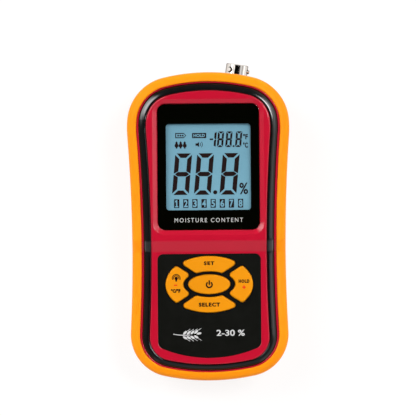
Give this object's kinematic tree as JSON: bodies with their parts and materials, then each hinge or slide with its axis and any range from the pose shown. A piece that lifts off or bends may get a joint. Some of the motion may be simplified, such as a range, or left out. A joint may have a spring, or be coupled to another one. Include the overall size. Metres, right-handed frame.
{
  "type": "grain moisture meter",
  "caption": "Handheld meter in a stretch-on rubber boot with a large display, an oval group of keys, a battery door in the back and a bayonet probe jack at the top end.",
  "frame": {"origin": "bottom centre of the bounding box of the meter lying on its back, on the surface under it", "axes": "+Z out of the display, +Y along the meter towards the probe jack, +X to the right of the reader"},
  "size_m": [0.0768, 0.1504, 0.036],
  "materials": {
    "boot_rubber": "satin moulded orange elastomer",
    "case_red": "fine-grained red ABS",
    "gloss_black": "polished piano-black ABS",
    "lens_acrylic": "clear hard-coated acrylic",
    "tape_black": "double-sided foam tape",
    "overlay_film": "fine matt polycarbonate film",
    "key_orange": "satin orange silicone with hard coat",
    "silicone_grey": "translucent grey silicone",
    "lcd_glass": "LCD cell",
    "lcd_film": "anti-glare polariser film",
    "light_guide": "blue-white acrylic light guide",
    "frame_black": "moulded black ABS",
    "zebra_pink": "silicone with carbon layers",
    "board_green": "FR4 with green solder mask",
    "chip_black": "moulded epoxy",
    "tinned": "tinned copper",
    "can_steel": "nickel-plated can",
    "sleeve_blue": "printed heat-shrink sleeve",
    "screw_steel": "zinc-plated steel",
    "screw_black": "black-oxide steel",
    "battery_jacket": "lacquered steel jacket",
    "snap_vinyl": "soft black vinyl",
    "lead_wire": "PVC insulation, one lead red and one black",
    "jack_wire": "PVC insulation, four colours",
    "foam_grey": "closed-cell foam",
    "label_silver": "blank silver polyester label",
    "nickel_plate": "bright nickel-plated brass",
    "insert_black": "glass-filled nylon",
    "gold_contact": "gold-flashed brass"
  },
  "bodies": {
    "case": {"backlight_dome": "silicone_grey", "battery": "battery_jacket", "battery_leads": "lead_wire", "battery_snap": "snap_vinyl", "battery_terminals": "tinned", "board_screws": "screw_steel", "buzzer": "frame_black", "capacitors": "sleeve_blue", "case_screws": "screw_black", "chip_leads": "tinned", "crystal_can": "can_steel", "display_lens": "lens_acrylic", "front_case": "case_red", "hold_dome": "silicone_grey", "jack_contacts": "gold_contact", "jack_insert": "insert_black", "jack_nut": "nickel_plate", "jack_shell": "nickel_plate", "jack_washer": "nickel_plate", "jack_wires": "jack_wire", "key_mat": "silicone_grey", "keypad_overlay": "overlay_film", "lcd_backlight": "light_guide", "lcd_frame": "frame_black", "lcd_glass": "lcd_glass", "lcd_polariser": "lcd_film", "lens_tape": "tape_black", "main_board": "board_green", "micro_controller": "chip_black", "power_dome": "silicone_grey", "rating_label": "label_silver", "rear_case": "case_red", "rubber_boot": "boot_rubber", "select_dome": "silicone_grey", "set_dome": "silicone_grey", "signal_chip": "chip_black", "trim_ring": "gloss_black", "zebra_strips": "zebra_pink"},
    "battery_door": {"battery_door": "case_red", "door_latch": "case_red", "battery_foam": "foam_grey"},
    "power_key": {"power_key": "key_orange"},
    "set_key": {"set_key": "key_orange"},
    "select_key": {"select_key": "key_orange"},
    "backlight_key": {"backlight_key": "key_orange"},
    "hold_key": {"hold_key": "key_orange"}
  },
  "joints": [
    {"name": "power_key_press", "type": "slide", "parent": "case", "child": "power_key", "axis": [0, 0, -1], "range_m": [0, 0.0008], "stiffness_N_per_m": 1500, "deforming": ["power_dome"]},
    {"name": "set_key_press", "type": "slide", "parent": "case", "child": "set_key", "axis": [0, 0, -1], "range_m": [0, 0.0008], "stiffness_N_per_m": 1500, "deforming": ["set_dome"]},
    {"name": "select_key_press", "type": "slide", "parent": "case", "child": "select_key", "axis": [0, 0, -1], "range_m": [0, 0.0008], "stiffness_N_per_m": 1500, "deforming": ["select_dome"]},
    {"name": "backlight_key_press", "type": "slide", "parent": "case", "child": "backlight_key", "axis": [0, 0, -1], "range_m": [0, 0.0008], "stiffness_N_per_m": 1500, "deforming": ["backlight_dome"]},
    {"name": "hold_key_press", "type": "slide", "parent": "case", "child": "hold_key", "axis": [0, 0, -1], "range_m": [0, 0.0008], "stiffness_N_per_m": 1500, "deforming": ["hold_dome"]},
    {"name": "battery_door_hinge", "type": "hinge", "parent": "case", "child": "battery_door", "pos_m": [0, -0.06503, 0.0006], "axis": [-1, 0, 0], "range_deg": [0, 75], "deforming": ["door_latch"]}
  ]
}
